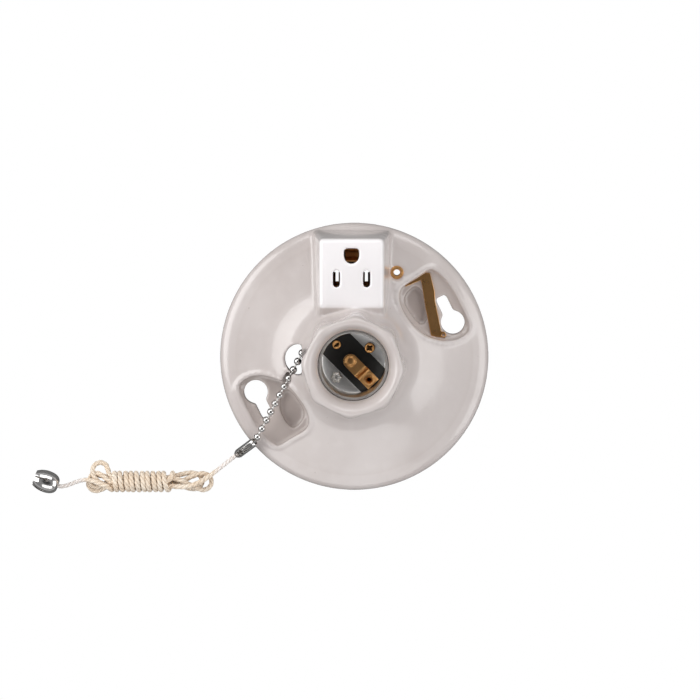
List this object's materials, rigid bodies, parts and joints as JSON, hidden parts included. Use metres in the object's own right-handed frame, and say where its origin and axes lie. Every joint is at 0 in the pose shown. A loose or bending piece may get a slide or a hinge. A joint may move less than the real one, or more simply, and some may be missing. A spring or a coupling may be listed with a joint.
{
  "type": "pull-chain ceiling lampholder with grounded outlet",
  "caption": "Round glazed porcelain ceiling lampholder with a medium screw socket, a bead-chain pull switch, a wound pull cord with a bell end, and a grounded outlet.",
  "frame": {"origin": "centre of the plate's back face, in the plane that meets the ceiling box", "axes": "+Z out of the lamp socket's mouth, +Y from the socket towards the outlet, +X completes the right hand"},
  "size_m": [0.1951, 0.1153, 0.0508],
  "materials": {
    "porcelain": "glossy warm white glaze",
    "brass": "plain stamped brass, lightly tarnished",
    "nickel": "bright nickel plate",
    "steel": "zinc plated",
    "black_phenolic": "moulded black phenolic",
    "fibre": "vulcanised fibre sheet",
    "cotton": "twisted cotton cord"
  },
  "bodies": {
    "lampholder": {"porcelain_body": "porcelain", "screw_shell": "nickel", "socket_insulator": "black_phenolic", "centre_contact_eyelet": "brass", "shell_screw": "brass", "shell_rivet": "nickel", "housing_screw": "brass", "switch_housing": "black_phenolic", "back_plate": "fibre", "back_plate_screw_a": "steel", "back_plate_screw_b": "steel", "line_contact": "brass", "load_contact": "brass", "hot_contact": "brass", "neutral_contact": "brass", "ground_contact": "brass", "ground_strap": "brass", "ground_eyelet": "brass", "receptacle_retainer": "fibre", "retainer_screw": "steel", "line_terminal_screw": "brass", "neutral_terminal_screw": "nickel", "neutral_link": "brass"},
    "centre_leaf": {"centre_contact_leaf": "brass"},
    "lever": {"pull_lever": "steel", "lever_spring": "steel"},
    "pawl": {"pawl": "steel"},
    "rotor": {"rotor_shaft": "steel", "ratchet_rotor": "black_phenolic", "contact_star": "brass"},
    "chain": {"bead_chain": "nickel", "chain_coupling": "nickel"},
    "cord": {"cord_lead": "cotton", "cord_hank": "cotton", "cord_tail": "cotton", "cord_bell": "nickel"}
  },
  "joints": [
    {"name": "chain_pull", "type": "slide", "parent": "lampholder", "child": "chain", "axis": [-0.4656, -0.8794, -0.0995], "range_m": [0, 0.0123], "stiffness_N_per_m": 800, "springref_m": -0.004},
    {"name": "lever_swing", "type": "hinge", "parent": "lampholder", "child": "lever", "pos_m": [0, 0, 0.0122], "axis": [0, 0, 1], "range_deg": [0, 33.5], "deforming": ["lever_spring"]},
    {"name": "rotor_turn", "type": "hinge", "parent": "lampholder", "child": "rotor", "pos_m": [0, 0, 0.007], "axis": [0, 0, 1], "range_deg": [0, 30.2]},
    {"name": "pawl_click", "type": "hinge", "parent": "lever", "child": "pawl", "pos_m": [-0.00709, 0.00733, 0.0122], "axis": [0, 0, 1], "range_deg": [-8, 0], "stiffness_Nm_per_rad": 0.02, "springref_deg": 5.73},
    {"name": "centre_leaf_press", "type": "hinge", "parent": "lampholder", "child": "centre_leaf", "pos_m": [0.00442, -0.00584, 0.0214], "axis": [-0.7203, -0.6936, 0], "range_deg": [0, 5], "stiffness_Nm_per_rad": 0.2, "springref_deg": -1.15, "deforming": ["centre_contact_leaf"]},
    {"name": "cord_level", "type": "slide", "parent": "chain", "child": "cord", "axis": [0, 0, 1], "range_m": [0, 0.0013], "deforming": ["cord_lead"]}
  ],
  "couplings": [
    {"joint": "lever_swing", "follows": "chain_pull", "rad_per_m": 47.209},
    {"joint": "rotor_turn", "follows": "chain_pull", "rad_per_m": 42.569},
    {"joint": "cord_level", "follows": "chain_pull", "ratio": 0.0995}
  ]
}
